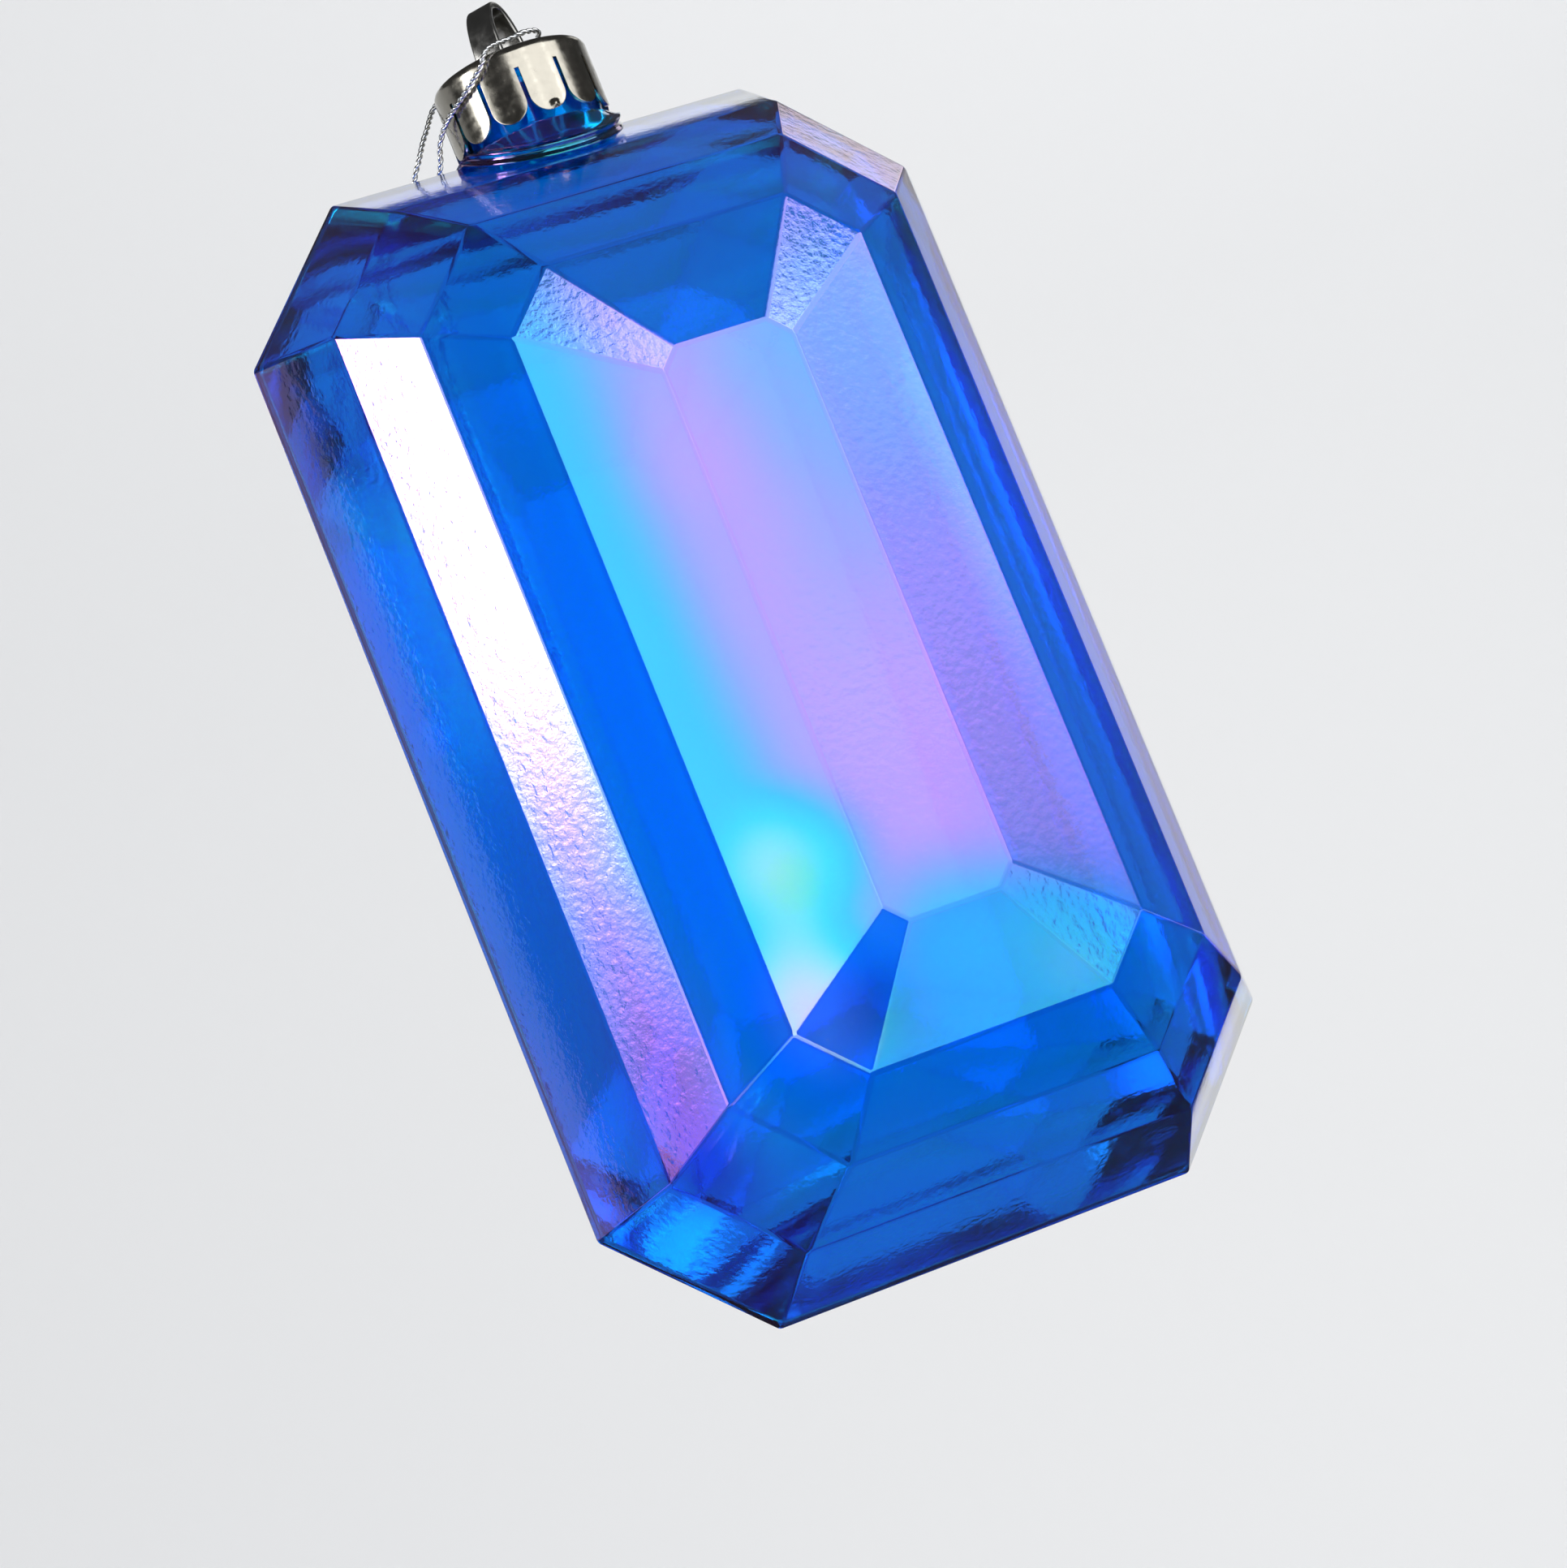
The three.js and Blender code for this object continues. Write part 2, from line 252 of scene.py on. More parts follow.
def makeInsideMaterial(name, s):
    material, shader, make = newMaterial(name)
    place = make("ShaderNodeTexCoord").outputs["Object"]
    flow = make("ShaderNodeTexNoise", {"Vector": place, "Scale": s["flowSize"], "Detail": 2})
    bump = make(
        "ShaderNodeBump",
        {"Height": flow.outputs["Fac"], "Strength": s["flowDepth"], "Distance": s["rippleHeight"]},
    )
    setShader(shader, {
        "Base Color": s["tint"],
        "Roughness": s["roughness"],
        "IOR": s["insideIor"],
        "Transmission Weight": 1,
        "Normal": bump.outputs[0],
    })
    return material


# The three metals: colour, roughness and how fine the haze and grain over it are
metals = {
    "polishedCap": {"colour": (0.4, 0.38, 0.33, 1), "roughness": 0.2, "grain": 900},
    "polishedLoop": {"colour": (0.4, 0.395, 0.38, 1), "roughness": 0.2, "grain": 700},
    "silverThread": {"colour": (0.86, 0.88, 0.9, 1), "roughness": 0.2, "grain": 2500},
}
grainDepth = 0.05
grainHeight = 0.3 * mm


def makeMetalMaterial(name):
    s = metals[name]
    material, shader, make = newMaterial(name)
    place = make("ShaderNodeTexCoord").outputs["Object"]
    cloud = make("ShaderNodeTexNoise", {"Vector": place, "Scale": s["grain"], "Detail": 4})
    haze = make(
        "ShaderNodeMapRange",
        {"Value": cloud.outputs["Fac"], "From Min": 0.35, "From Max": 0.75,
         "To Min": s["roughness"] * 0.7, "To Max": s["roughness"] * 1.5},
    )
    bump = make(
        "ShaderNodeBump",
        {"Height": cloud.outputs["Fac"], "Strength": grainDepth, "Distance": grainHeight},
    )
    setShader(shader, {
        "Base Color": s["colour"],
        "Metallic": 1,
        "Roughness": haze.outputs[0],
        "Normal": bump.outputs[0],
    })
    return material


jewelMaterial = makeJewelMaterial("iridescentShell", jewelFinish)
insideMaterial = makeInsideMaterial("clearInside", jewelFinish)
# The bevelled facet edges and the seam band get the darker tint, which paints shade lines along the edges.
shadedEdgeFinish = {**jewelFinish, "tint": jewelFinish["shadedEdgeTint"], "rippleDepth": 0.02}
shadedEdgeMaterial = makeJewelMaterial("iridescentShadedEdge", shadedEdgeFinish)
neckFinish = {
    **jewelFinish,
    "rippleDepth": 0.03,
    "patches": [
        {"centre": (6, -10, -17.5), "radius": 7, "adds": 72, "stretch": (1, 1, 1)},
        {"centre": (-5, -10, -18.5), "radius": 6, "adds": -10, "stretch": (1, 1, 1)},
        {"centre": (0, -10, -24), "radius": 12, "adds": 22, "stretch": (0.6, 1, 2.4)},
    ],
    "paintedLightSpots": [],
}
neckMaterial = makeJewelMaterial("iridescentNeck", neckFinish)
capMaterial = makeMetalMaterial("polishedCap")
loopMaterial = makeMetalMaterial("polishedLoop")
threadMaterial = makeMetalMaterial("silverThread")
print("materials made")


# Cord: two plies of silver thread twisted together, up the back, through the loop and down again
cordRoute = [
    (-14.8, 31.8, -76.5), (-15.2, 31.7, -66.5), (-15.5, 31.6, -57.2), (-15.8, 30.8, -49.5),
    (-16.1, 29.6, -41.8), (-16.5, 24.5, -32.8), (-16.8, 15.2, -25.6), (-16.9, 8.8, -22.2),
    (-16.6, 5.4, -19.4), (-15.7, 4.4, -17), (-14.2, 4.3, -14.8), (-12.7, 5, -12.7), (-11.2, 5.6, -10.9),
    (-8.6, 6.9, -8), (-6, 5.4, -6.9), (-2.8, 2.8, -6.8), (0.4, -0.2, -6.8), (2.6, -2.2, -6.6),
    (3.7, -4.3, -6.3), (3.2, -6.3, -6), (1.2, -7.3, -6), (-1.5, -7.5, -6.4), (-4, -8.2, -6.9),
    (-5.7, -9.1, -7.8), (-6.8, -8.9, -9.3), (-9, -6.6, -11.2), (-10.7, -3.1, -12.5), (-11.3, -0.4, -13.2),
    (-12, 1.6, -14.8), (-12.6, 2.2, -16.9), (-13.5, 4.6, -19.6), (-13.9, 8.8, -22.2), (-13.9, 15.2, -25.6),
    (-13.8, 24.5, -32.8), (-13.6, 29.6, -41.8), (-13.5, 31.1, -49.5), (-13.4, 32.1, -57.2),
    (-13.3, 32.1, -66.5), (-13.2, 32.1, -76.5),
]
cordSettings = {
    "diameter": 0.8 * mm,
    "plyRadius": 0.21 * mm,
    "lay": 2 * mm,  # the length of one turn of the twist
    "stepsPerTurn": 10,
    "stepsPerSpan": 24,
    "sides": 6,
}


def smoothRoute(points, spacing, stepsPerSpan):
    # A smooth curve through every point, then even steps along it.
    points = [Vector(p) * mm for p in points]
    first = points[0] * 2 - points[1]
    last = points[-1] * 2 - points[-2]
    padded = [first] + points + [last]
    fine = []
    for i in range(1, len(padded) - 2):
        p0, p1, p2, p3 = padded[i - 1 : i + 3]
        t0, t1 = 0, (p1 - p0).length ** 0.5
        t2 = t1 + (p2 - p1).length ** 0.5
        t3 = t2 + (p3 - p2).length ** 0.5
        for k in range(stepsPerSpan):
            t = t1 + (t2 - t1) * k / stepsPerSpan
            a1 = p0.lerp(p1, (t - t0) / (t1 - t0))
            a2 = p1.lerp(p2, (t - t1) / (t2 - t1))
            a3 = p2.lerp(p3, (t - t2) / (t3 - t2))
            b1 = a1.lerp(a2, (t - t0) / (t2 - t0))
            b2 = a2.lerp(a3, (t - t1) / (t3 - t1))
            fine.append(b1.lerp(b2, (t - t1) / (t2 - t1)))
    fine.append(points[-1])
    total = sum((b - a).length for a, b in zip(fine, fine[1:]))
    count = max(2, round(total / spacing))
    step = total / count
    even = [fine[0].copy()]
    walked = 0
    for a, b in zip(fine, fine[1:]):
        span = (b - a).length
        while span > 0 and walked + span >= step * len(even) - 1e-12 and len(even) < count:
            even.append(a.lerp(b, (step * len(even) - walked) / span))
        walked += span
    even.append(fine[-1].copy())
    return even, total


def frameAlong(path):
    # A side direction at each point that turns as little as it can.
    sides = []
    side = None
    for i, point in enumerate(path):
        ahead = (path[min(i + 1, len(path) - 1)] - path[max(i - 1, 0)]).normalized()
        if side is None:
            side = ahead.orthogonal()
        side = (side - ahead * side.dot(ahead)).normalized()
        sides.append((side.copy(), ahead.cross(side)))
    return sides


def tubeAlong(path, radius, sides, verts, faces):
    first = len(verts)
    for point, (a, b) in zip(path, frameAlong(path)):
        for k in range(sides):
            turn = 2 * math.pi * k / sides
            verts.append(point + (a * math.cos(turn) + b * math.sin(turn)) * radius)
    for i in range(len(path) - 1):
        for k in range(sides):
            n = (k + 1) % sides
            low = first + i * sides
            faces.append((low + k, low + n, low + sides + n, low + sides + k))
    faces.append(tuple(first + k for k in reversed(range(sides))))
    end = first + (len(path) - 1) * sides
    faces.append(tuple(end + k for k in range(sides)))


def twistedCord(path, s, verts, faces):
    spin = 2 * math.pi / s["stepsPerTurn"]
    frames = frameAlong(path)
    offset = s["diameter"] / 2 - s["plyRadius"]
    for ply in range(2):
        line = []
        for i, (point, (a, b)) in enumerate(zip(path, frames)):
            turn = i * spin + ply * math.pi
            line.append(point + (a * math.cos(turn) + b * math.sin(turn)) * offset)
        tubeAlong(line, s["plyRadius"], s["sides"], verts, faces)


def makeCord(route, s):
    spacing = s["lay"] / s["stepsPerTurn"]
    path, total = smoothRoute(route, spacing, s["stepsPerSpan"])
    verts, faces = [], []
    twistedCord(path, s, verts, faces)
    cord = newObject("twistedCord", verts, faces, threadMaterial)
    print("cord made,", round(total * 1000, 1), "mm long")
    return cord, path, total


cord, cordPath, cordLength = makeCord(cordRoute, cordSettings)
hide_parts("cord")
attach(cord, "hanger")


# Knot: the two ends tied together, with short tails
knotSettings = {
    "turnRadius": 0.62 * mm,
    "cordRadius": 0.38 * mm,
    "tailRadius": 0.304 * mm,
    "stretch": (0.396, 0.825, 0.55),
    "steps": 90,
    # each tail's place beside and behind the knot's middle, and how far it leans
    "tails": [(-0.55, 0.1, -0.1), (0.6, 0.15, 0.1)],
    "tailLength": 5.4 * mm,
    "tailSteps": 12,
    "sides": 10,
    "tailSides": 8,
}


def makeKnot(s):
    low, high = (Vector(corner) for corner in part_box("cord_knot"))
    middle = (low + high) / 2
    centre = Vector((middle.x, middle.y, high.z - (high.x - low.x) * 0.6))
    verts, faces = [], []
    loop = []
    for i in range(s["steps"] + 1):
        t = 2 * math.pi * i / s["steps"]
        x = math.sin(t) + 2 * math.sin(2 * t)
        z = math.cos(t) - 2 * math.cos(2 * t)
        y = -math.sin(3 * t)
        loop.append(centre + Vector((x, y, z)) * Vector(s["stretch"]) * s["turnRadius"])
    tubeAlong(loop, s["cordRadius"], s["sides"], verts, faces)
    for x, y, lean in s["tails"]:
        tail = []
        for i in range(s["tailSteps"]):
            share = i / (s["tailSteps"] - 1)
            drop = Vector((x + lean * share, y, 0)) * mm
            tail.append(centre + drop - Vector((0, 0, s["tailLength"] * share)))
        tubeAlong(tail, s["tailRadius"], s["tailSides"], verts, faces)
    return newObject("threadKnot", verts, faces, threadMaterial)


knot = makeKnot(knotSettings)
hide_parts("cord_knot")
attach(knot, "hanger")


# Faceted body: rings of half width, half height, corner cut and depth from the middle plane, in millimetres
bodySettings = {
    "centreZ": -95.1,
    "rings": [
        (47, 76.2, 17.7, 0),
        (40.37, 69.54, 13.31, 13.6),
        (33.17, 62.3, 11.6, 23.39),
        (24.26, 53.33, 7.61, 28.71),
        (8.9, 37.9, 2.7, 32.3),
    ],
    "wall": 1.6,
    "seam": 0.04,
    "edgeRound": 0.4,
    "edgeSteps": 3,
}


# The inside follows every facet at the wall's thickness, so its rings are moved in along both neighbours.
def innerRings(rings, wall):
    def shift(index, key):
        at = rings[index]
        after = rings[index + 1] if index + 1 < len(rings) else None
        nextOut = Vector((0, 1))
        if after:
            nextOut = Vector((after[3] - at[3], at[key] - after[key])).normalized()
        if index == 0:
            lastOut = Vector((nextOut.x, -nextOut.y))
        else:
            before = rings[index - 1]
            lastOut = Vector((at[3] - before[3], before[key] - at[key])).normalized()
        return (lastOut + nextOut) * (wall / (1 + lastOut.dot(nextOut)))

    made = []
    for i, (w, h, c, d) in enumerate(rings):
        across, along = shift(i, 0), shift(i, 1)
        shrink = (across.x + along.x) / 2
        corner = c - shrink * (2 - math.sqrt(2))
        made.append((w - across.x, h - along.x, corner, d - (across.y + along.y) / 2))
    return made


def octagonPoints(ring, side, centreZ):
    w, h, c, d = ring
    upper = [(w, h - c), (w - c, h), (c - w, h), (-w, h - c)]
    corners = upper + [(-x, -z) for x, z in upper]
    return [Vector((x, side * d, z + centreZ)) * mm for x, z in corners]


def makeShell(name, side, s):
    rings = list(s["rings"])
    inside = innerRings(rings, s["wall"])
    rings[0] = rings[0][:3] + (s["seam"],)
    inside[0] = inside[0][:3] + (s["seam"],)
    shape = bmesh.new()
    outer = [[shape.verts.new(p) for p in octagonPoints(r, side, s["centreZ"])] for r in rings]
    inner = [[shape.verts.new(p) for p in octagonPoints(r, side, s["centreZ"])] for r in inside]

    corners = len(outer[0])

    def band(low, high):
        made = []
        for k in range(corners):
            n = (k + 1) % corners
            made.append(shape.faces.new((low[k], low[n], high[n], high[k])))
        return made

    def skin(levels):
        for low, high in zip(levels, levels[1:]):
            band(low, high)
        shape.faces.new(levels[-1])

    skin(outer)
    outerEdges = [e for e in shape.edges if not all(v in outer[0] for v in e.verts)]
    skin(inner)
    innerVerts = {v for ring in inner for v in ring}
    for face in shape.faces:
        if innerVerts.intersection(face.verts):
            face.material_index = 1
    # The seam band here and the bevel strips below take material 2, the darker tint that paints shade lines
    # along the edges.
    for face in band(outer[0], inner[0]):
        face.material_index = 2
    bmesh.ops.recalc_face_normals(shape, faces=shape.faces)
    bmesh.ops.bevel(
        shape, geom=outerEdges, offset=s["edgeRound"] * mm, offset_type="OFFSET", segments=s["edgeSteps"],
        profile=0.5, affect="EDGES", clamp_overlap=True, material=2,
    )
    mesh = bpy.data.meshes.new(name)
    shape.to_mesh(mesh)
    shape.free()
    for material in (jewelMaterial, insideMaterial, shadedEdgeMaterial):
        mesh.materials.append(material)
    piece = linkSmooth(name, mesh)
    weigh = piece.modifiers.new("flatFacets", "WEIGHTED_NORMAL")
    weigh.mode = "FACE_AREA"
    weigh.weight = 100
    return piece


for side, name, node in ((-1, "frontShell", "front_shell"), (1, "backShell", "back_shell")):
    piece = makeShell(name, side, bodySettings)
    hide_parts(node)
    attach(piece, "jewel")
print("shells made")


# Neck collar: a round spigot over a flared foot that follows the slope of the body's top
neckSettings = {
    "bore": 7.4,
    "spigot": 9.5,
    "foot": 11.1,
    "groove": 0.4,
    "lip": 11.3,
    "footRise": 0.9,
    "lipRise": 2.2,
    "flareRise": 6.2,
    "restZ": -18.6,
    "topZ": -8.6,
    "gap": 0.3,
    "slope": 6.66 / 13.6,
    "rest": 0.06,  # the height of one step where the profile lies flat
    "flareSteps": 10,
    "sides": 96,
}


# Each level of the profile is a radius, a height in steps, and the most it may stand above the body's top.
def makeNeck(s):
    anywhere = 99
    levels = [(s["bore"], 0, s["gap"]), (s["foot"] - 0.2, 0, s["gap"]), (s["foot"], 0.3, s["gap"] + 0.2)]
    levels += [(s["foot"], 0.8, s["footRise"] - 0.2), (s["foot"] - 0.15, 1, s["footRise"])]
    levels += [(s["foot"] - s["groove"], 1.5, s["footRise"] + s["groove"])]
    levels += [(s["lip"] - 0.15, 2, s["lipRise"] - s["groove"]), (s["lip"], 2.3, s["lipRise"] - 0.2)]
    for i in range(s["flareSteps"] + 1):
        turn = math.pi / 2 * i / s["flareSteps"]
        radius = s["lip"] - (s["lip"] - s["spigot"]) * math.sin(turn)
        above = s["lipRise"] + (s["flareRise"] - s["lipRise"]) * (1 - math.cos(turn))
        levels.append((radius, 3 + 2 * i / s["flareSteps"], above))
    tall = (s["topZ"] - s["restZ"]) / s["rest"]
    levels += [(s["spigot"], tall - 3, anywhere), (s["spigot"] - 0.2, tall, anywhere)]
    levels += [(s["bore"] + 0.2, tall, anywhere), (s["bore"], tall - 3, anywhere)]
    verts, faces = [], []
    ridgeZ = s["restZ"] - s["gap"]
    for k in range(s["sides"]):
        turn = 2 * math.pi * k / s["sides"]
        for radius, rest, above in levels:
            x, y = radius * math.cos(turn), radius * math.sin(turn)
            roof = ridgeZ - abs(y) * s["slope"]
            verts.append(Vector((x, y, min(s["restZ"] + rest * s["rest"], roof + above))) * mm)
    count = len(levels)
    for k in range(s["sides"]):
        n = (k + 1) % s["sides"]
        for j in range(count):
            m = (j + 1) % count
            faces.append((k * count + j, n * count + j, n * count + m, k * count + m))
    return newObject("neckCollar", verts, faces, neckMaterial)


neck = makeNeck(neckSettings)
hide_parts("neck_collar")
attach(neck, "jewel")
print("neck made")


# Cap: thin pressed metal with a rounded rim and rounded petals
capSettings = {
    "radius": 10.4,
    "sheet": 0.5,
    "topZ": -7.8,
    "height": 9.9,
    "rimRound": 1.1,
    "petals": 12,
    "slotWidth": 0.6,
    "slotStart": 3.2,
    "firstSlot": 14,
    "softEdge": 0.09 * mm,
    "softAngle": 55,
    "topRings": (0.6, 3, 6),
    "columns": 22,
    "rows": 34,
    "rimSteps": 7,
    "bandSteps": 6,
    # small marks pressed in the petals: direction, depth below the top, radius, how far out
    "marks": [(-89.5, 9.3, 0.5, 0.5), (-121, 8.4, 0.7, -0.18)],
    "markFade": 1.4,
}


def makeCap(s):
    verts, faces = [], []
    radius, top = s["radius"], s["topZ"]
    pitch = 2 * math.pi / s["petals"]
    half = pitch / 2 - s["slotWidth"] / 2 / radius
    columns, rows = s["columns"], s["rows"]

    def place(turn, r, z):
        for direction, below, size, out in s["marks"]:
            across = (turn - math.radians(direction) + math.pi) % (2 * math.pi) - math.pi
            reach = math.hypot(across * radius, z - (top - below)) / size
            r += out * math.exp(-reach * reach * s["markFade"]) if r > radius - 0.01 else 0
        verts.append(Vector((r * math.cos(turn), r * math.sin(turn), z)) * mm)
        return len(verts) - 1

    def strip(low, high):
        for a, b, c, d in zip(low, low[1:], high[1:], high):
            faces.append((a, b, c, d))

    # The columns of one petal are closer together near its sides, where its tip is rounded.
    spread = [math.sin(math.pi / 2 * (2 * i / columns - 1)) for i in range(columns + 1)]
    turns = []
    for p in range(s["petals"]):
        middle = math.radians(s["firstSlot"]) + pitch * (p + 0.5)
        turns += [middle + half * u for u in spread]
    levels = [(r, top) for r in (*s["topRings"], radius - s["rimRound"] - 0.4)]
    for i in range(s["rimSteps"] + 1):
        turn = math.pi / 2 * i / s["rimSteps"]
        inwards = s["rimRound"] * (1 - math.sin(turn))
        levels.append((radius - inwards, top - s["rimRound"] * (1 - math.cos(turn))))
    band = (s["slotStart"] - s["rimRound"]) / s["bandSteps"]
    for i in range(1, s["bandSteps"] + 1):
        levels.append((radius, top - s["rimRound"] - band * i))
    rings = [[place(turn, r, z) for turn in turns] for r, z in levels]
    for high, low in zip(rings, rings[1:]):
        strip(low + low[:1], high + high[:1])
    faces.append(tuple(rings[0]))
    # Petals hang from the last ring and end in a round tip.
    tipRadius = half * radius
    for p in range(s["petals"]):
        start = p * (columns + 1)
        above = rings[-1][start : start + columns + 1]
        for row in range(1, rows + 1):
            line = []
            for i, u in enumerate(spread):
                lift = tipRadius * (1 - math.sqrt(max(0, 1 - u * u)))
                low = s["height"] - min(lift, tipRadius * 0.98)
                z = top - s["slotStart"] - (low - s["slotStart"]) * row / rows
                line.append(place(turns[start + i], radius, z))
            strip(line, above)
            above = line
    cap = newObject("petalledCap", verts, faces, capMaterial)
    faceOutwards(cap)
    thick = cap.modifiers.new("sheet", "SOLIDIFY")
    thick.thickness = s["sheet"] * mm
    thick.offset = -1
    thick.use_even_offset = True
    edges = cap.modifiers.new("softEdges", "BEVEL")
    edges.width = s["softEdge"]
    edges.segments = 2
    edges.limit_method = "ANGLE"
    edges.angle_limit = math.radians(s["softAngle"])
    applyModifiers(cap)
    return cap


cap = makeCap(capSettings)
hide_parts("cap")
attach(cap, "hanger")
print("cap made")


# Strap loop: a flat strap bent into an arch, with its feet clinched out under the cap
loopSettings = {
    "span": 8.4,
    "rise": 8.8,
    "thickness": 1.0,
    "widthBelow": 4.2,
    "widthAbove": 3.6,
    "edgeRound": 0.28,
    "turn": 45,
    "squareness": 2.3,
    "topZ": -7.8,
    "foot": 2,
    "footBend": 0.9,
    "footCorner": 0.25,
    "sheet": 0.5,
    "gap": 0.3,
    "archSteps": 48,
    "roundSteps": 4,
}


def makeLoop(s):
    half = s["span"] / 2 - s["thickness"] / 2
    rise = s["rise"] - s["thickness"] / 2
    footZ = -s["sheet"] - s["gap"] - s["thickness"] / 2
    # One foot, from its end to the leg; the other is the same, turned round.
    bend, corner = s["footBend"], s["footCorner"]
    foot = [(s["span"] / 2 + s["foot"], footZ), (half + bend, footZ), (half + corner, footZ + corner)]
    foot.append((half, footZ + bend))
    line = [(-x, z) for x, z in foot]
    for i in range(s["archSteps"] + 1):
        turn = math.pi * (1 - i / s["archSteps"])
        c, d = math.cos(turn), max(0, math.sin(turn))
        across = math.copysign(abs(c) ** (2 / s["squareness"]), c)
        line.append((half * across, rise * d ** (2 / s["squareness"])))
    line += reversed(foot)
    verts, faces = [], []
    turned = math.radians(s["turn"])
    along = Vector((math.cos(turned), math.sin(turned), 0))
    through = Vector((-math.sin(turned), math.cos(turned), 0))
    up = Vector((0, 0, 1))
    for i, (x, z) in enumerate(line):
        before, after = line[max(0, i - 1)], line[min(len(line) - 1, i + 1)]
        ahead = Vector((after[0] - before[0], after[1] - before[1])).normalized()
        out = Vector((-ahead.y, ahead.x))
        share = max(0, min(1, z / rise))
        width = s["widthBelow"] + (s["widthAbove"] - s["widthBelow"]) * share
        r = s["edgeRound"]
        section = []
        for cx, cy, start in ((1, 1, 0), (-1, 1, 90), (-1, -1, 180), (1, -1, 270)):
            for k in range(s["roundSteps"] + 1):
                turn = math.radians(start + 90 * k / s["roundSteps"])
                section.append((
                    cx * (width / 2 - r) + r * math.cos(turn),
                    cy * (s["thickness"] / 2 - r) + r * math.sin(turn),
                ))
        for across, off in section:
            flat = Vector((x, z)) + out * off
            point = along * flat.x + up * (flat.y + s["topZ"]) + through * across
            verts.append(point * mm)
        sections = len(section)
    for i in range(len(line) - 1):
        for k in range(sections):
            n = (k + 1) % sections
            low, high = i * sections, (i + 1) * sections
            faces.append((low + k, low + n, high + n, high + k))
    faces.append(tuple(reversed(range(sections))))
    faces.append(tuple((len(line) - 1) * sections + k for k in range(sections)))
    loop = newObject("strapLoop", verts, faces, loopMaterial)
    faceOutwards(loop)
    return loop


loop = makeLoop(loopSettings)
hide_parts("hanging_loop")
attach(loop, "hanger")
print("loop made")


# Studio: pale sweep, a dim room and soft lamps
studio = {
    "floorZ": -0.42,
    "wallY": 1.5,
    "halfWidth": 3.0,
    "front": -1.15,
    "sweepRadius": 0.7,
    "sweepSteps": 16,
    "wallHeight": 0.95,
    "colours": ((0.84, 0.845, 0.85, 1), (0.86, 0.865, 0.875, 1)),
    "mottleSize": 1.2,
    "roughness": 0.9,
    "shine": 0.1,
}


def makeSweep(s):
    profile = [(s["front"], s["floorZ"])]
    for i in range(s["sweepSteps"] + 1):
        turn = math.pi / 2 * i / s["sweepSteps"]
        y = s["wallY"] - s["sweepRadius"] + s["sweepRadius"] * math.sin(turn)
        z = s["floorZ"] + s["sweepRadius"] * (1 - math.cos(turn))
        profile.append((y, z))
    profile.append((s["wallY"], s["wallHeight"]))
    verts, faces = [], []
    for x in (-s["halfWidth"], s["halfWidth"]):
        verts += [Vector((x, y, z)) for y, z in profile]
    count = len(profile)
    for i in range(count - 1):
        faces.append((i, i + 1, count + i + 1, count + i))
    material, shader, make = newMaterial("palePaper")
    place = make("ShaderNodeTexCoord").outputs["Object"]
    mottle = make("ShaderNodeTexNoise", {"Vector": place, "Scale": s["mottleSize"], "Detail": 2})
    blend = {0: mottle.outputs["Fac"], 6: s["colours"][0], 7: s["colours"][1]}
    shade = make("ShaderNodeMix", blend, data_type="RGBA")
    setShader(shader, {
        "Base Color": shade.outputs[2],
        "Roughness": s["roughness"],
        "Specular IOR Level": s["shine"],
    })
    sweep = newObject("sweep", verts, faces, material)


makeSweep(studio)


# Windows round the body, each a stack of soft lamps: where from its middle and how wide, in metres, the
# heights where one lamp ends and the next begins, and each lamp's brightness.
windows = [
    {"name": "frontLeft", "at": (-0.1, -1.2), "width": 0.6, "edges": (0.7, -0.5), "bright": (2.1,)},
    {"name": "leftFront", "at": (-0.84, -0.3), "width": 0.26, "edges": (0.42, 0), "bright": (2.2,)},
    {"name": "topRight", "at": (0.89, 0.52), "width": 0.25, "edges": (0.74, 0.5), "bright": (1.25,)},
    {
        "name": "frontRight", "at": (0.56, -1.2), "width": 0.8,
        "edges": (0.8, 0.15, 0.05, -0.05, -0.53), "bright": (2.1, 1.85, 1.6, 1.35),
    },
    {
        "name": "right", "at": (0.935, -0.753), "width": 0.5,
        "edges": (0.6, 0.32, 0.24, 0.17, 0.1, 0.02, -0.15), "bright": (2.2, 1.7, 1.3, 0.9, 0.6, 0.3),
    },
    {
        "name": "left", "at": (-0.887, -0.118), "width": 0.2,
        "edges": (0.42, 0.155, 0.125, 0.095, 0.06, -0.06), "bright": (14, 6, 3.2, 1.8, 0.8),
    },
]
wallWash = {"name": "wallWash", "at": (1.363, 0.287, 1.291), "size": (2.2, 1.2), "bright": 2.6}


def makeLamp(name, at, size, bright, seenInReflections=True):
    data = bpy.data.lights.new(name, "AREA")
    data.shape = "RECTANGLE"
    data.size, data.size_y = size
    data.energy = bright * math.pi * size[0] * size[1]
    lamp = bpy.data.objects.new(name, data)
    bpy.context.scene.collection.objects.link(lamp)
    middle = Vector((0, 0, bodySettings["centreZ"] * mm))
    lamp.location = middle + Vector(at)
    lamp.rotation_euler = Vector(at).to_track_quat("Z", "Y").to_euler()
    lamp.visible_glossy = seenInReflections


for window in windows:
    steps = zip(window["edges"], window["edges"][1:], window["bright"])
    for i, (top, bottom, bright) in enumerate(steps):
        at = (*window["at"], (top + bottom) / 2)
        makeLamp(f"{window['name']}{i}", at, (window["width"], top - bottom), bright)
makeLamp(wallWash["name"], wallWash["at"], wallWash["size"], wallWash["bright"], seenInReflections=False)


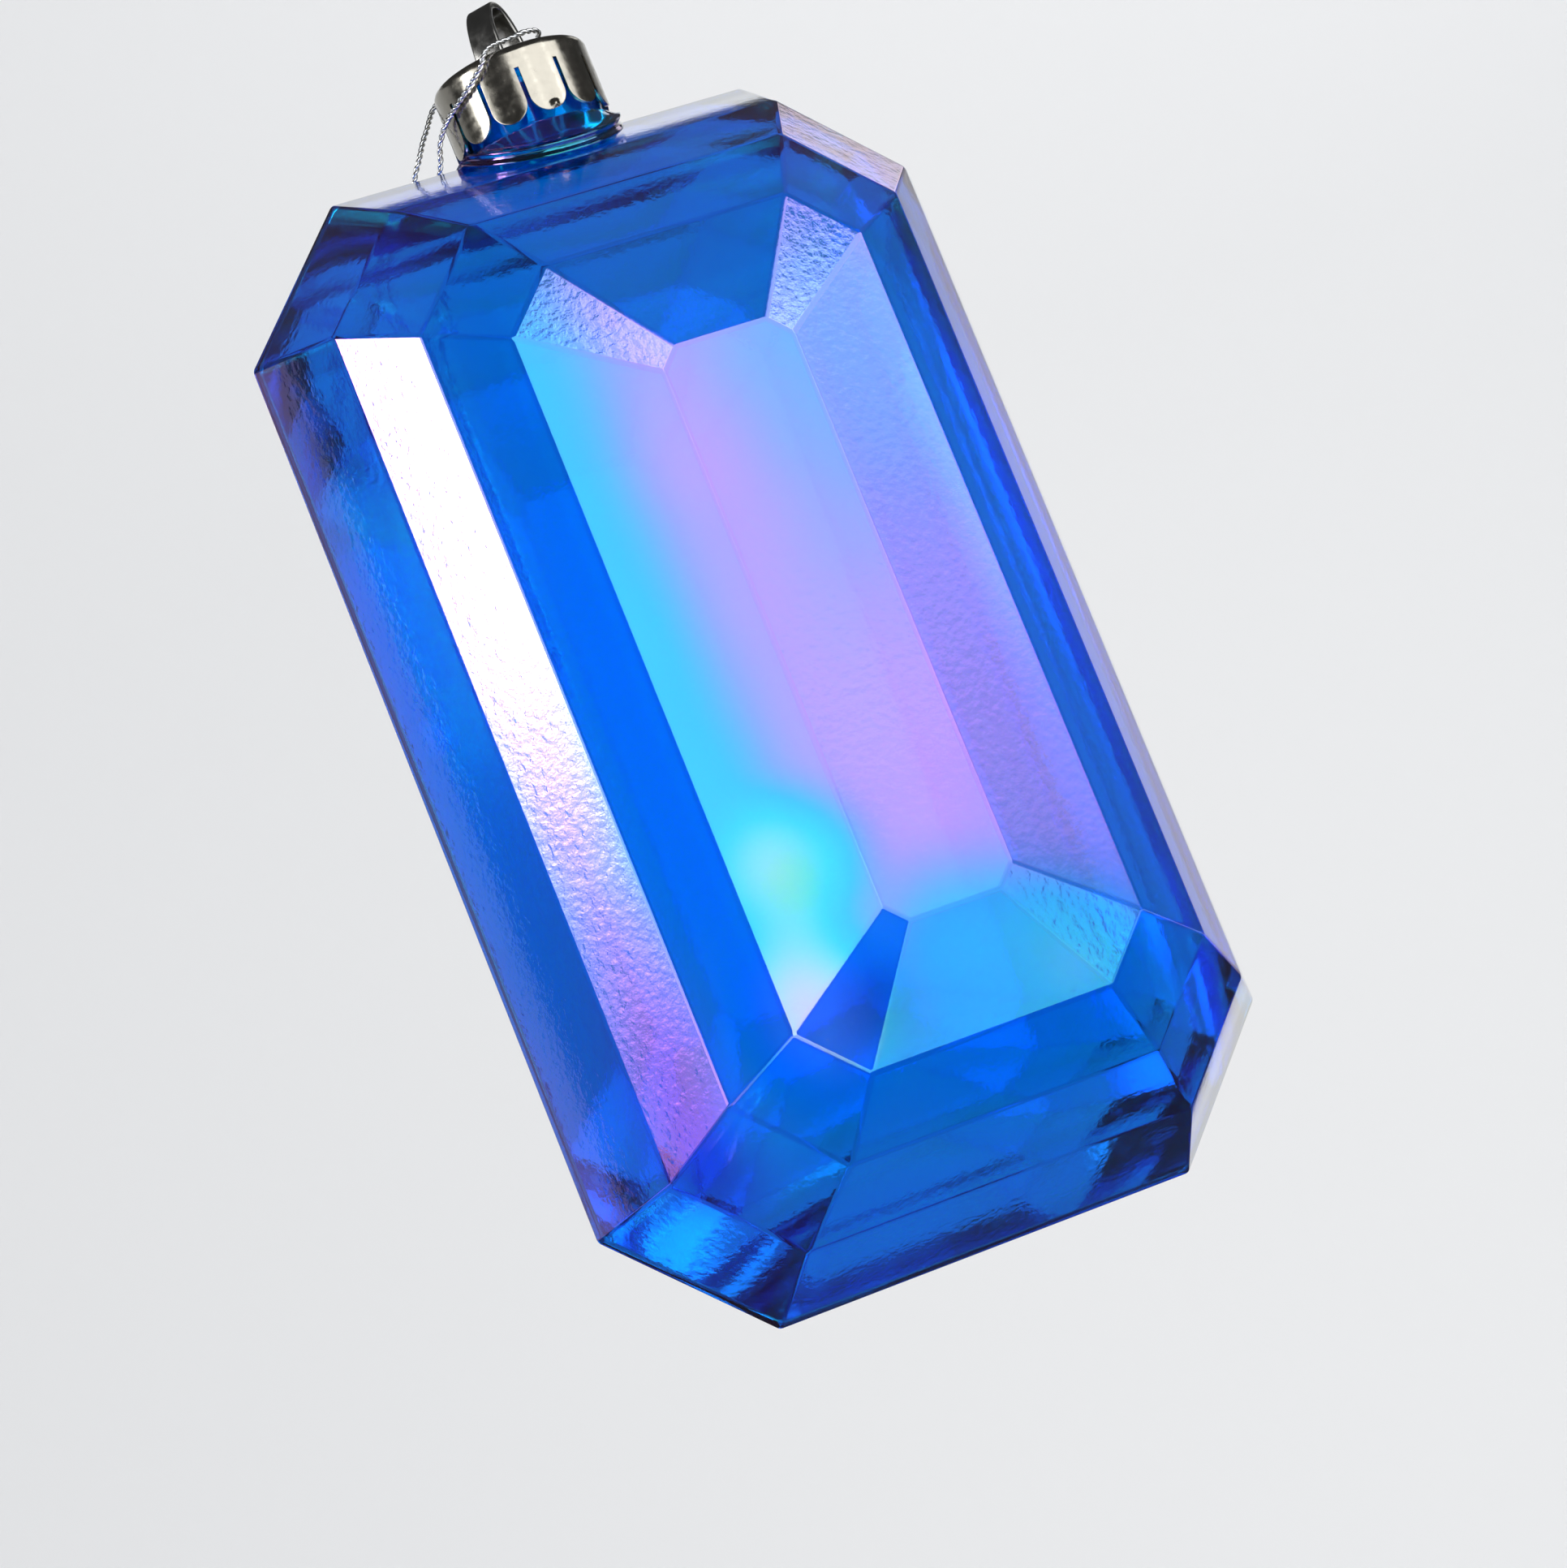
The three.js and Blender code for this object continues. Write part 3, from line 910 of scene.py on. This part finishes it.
# Dark cards that only reflections see: one keeps the floor out of the lower facets, one darkens a corner.
cards = [
    {"name": "lowerCard", "middle": (0.2, 0.3, -0.34), "size": (2.2, 1.5), "faces": (0, 0, 1)},
    {"name": "cornerCard", "middle": (0.1, -1.1, -0.32), "size": (0.24, 0.24), "faces": (0, 1, 0)},
]
cardFinish = {"colour": (0.02, 0.022, 0.03, 1), "napSize": 40, "roughness": (0.85, 1)}


def makeCard(s):
    material, shader, make = newMaterial(s["name"])
    place = make("ShaderNodeTexCoord").outputs["Object"]
    nap = make("ShaderNodeTexNoise", {"Vector": place, "Scale": cardFinish["napSize"]})
    low, high = cardFinish["roughness"]
    shade = make("ShaderNodeMapRange", {"Value": nap.outputs["Fac"], "To Min": low, "To Max": high})
    setShader(shader, {"Base Color": cardFinish["colour"], "Roughness": shade.outputs[0]})
    across = Vector((s["size"][0] / 2, 0, 0))
    other = Vector(s["faces"]).cross(across.normalized()) * s["size"][1] / 2
    middle = Vector(s["middle"])
    corners = [middle + across * i + other * k for i, k in ((-1, -1), (1, -1), (1, 1), (-1, 1))]
    card = newObject(s["name"], corners, [(0, 1, 2, 3)], material)
    card.visible_camera = False
    card.visible_diffuse = False
    card.visible_transmission = False
    card.visible_shadow = False


for card in cards:
    makeCard(card)


# The room round it all: how bright it is as a soft light, and as each kind of ray sees it. Seen directly or
# through the clear shells it is pale, and reflections see it dark.
room = {
    "colour": (0.9, 0.91, 0.93, 1),
    "light": 0.38,
    "seen": {"Is Camera Ray": 0.84, "Is Glossy Ray": 0.06, "Is Transmission Ray": 1},
}


def makeRoom(s):
    world = bpy.data.worlds.new("room")
    world.use_nodes = True
    bpy.context.scene.world = world
    make = nodeMaker(world)
    background = world.node_tree.nodes["Background"]
    background.inputs["Color"].default_value = s["colour"]
    rays = make("ShaderNodeLightPath")
    level = s["light"]
    for ray, seen in s["seen"].items():
        level = make("ShaderNodeMix", {0: rays.outputs[ray], 2: level, 3: seen}).outputs[0]
    world.node_tree.links.new(level, background.inputs["Strength"])
    bpy.context.scene.view_settings.view_transform = "Standard"


makeRoom(room)
print("studio made")
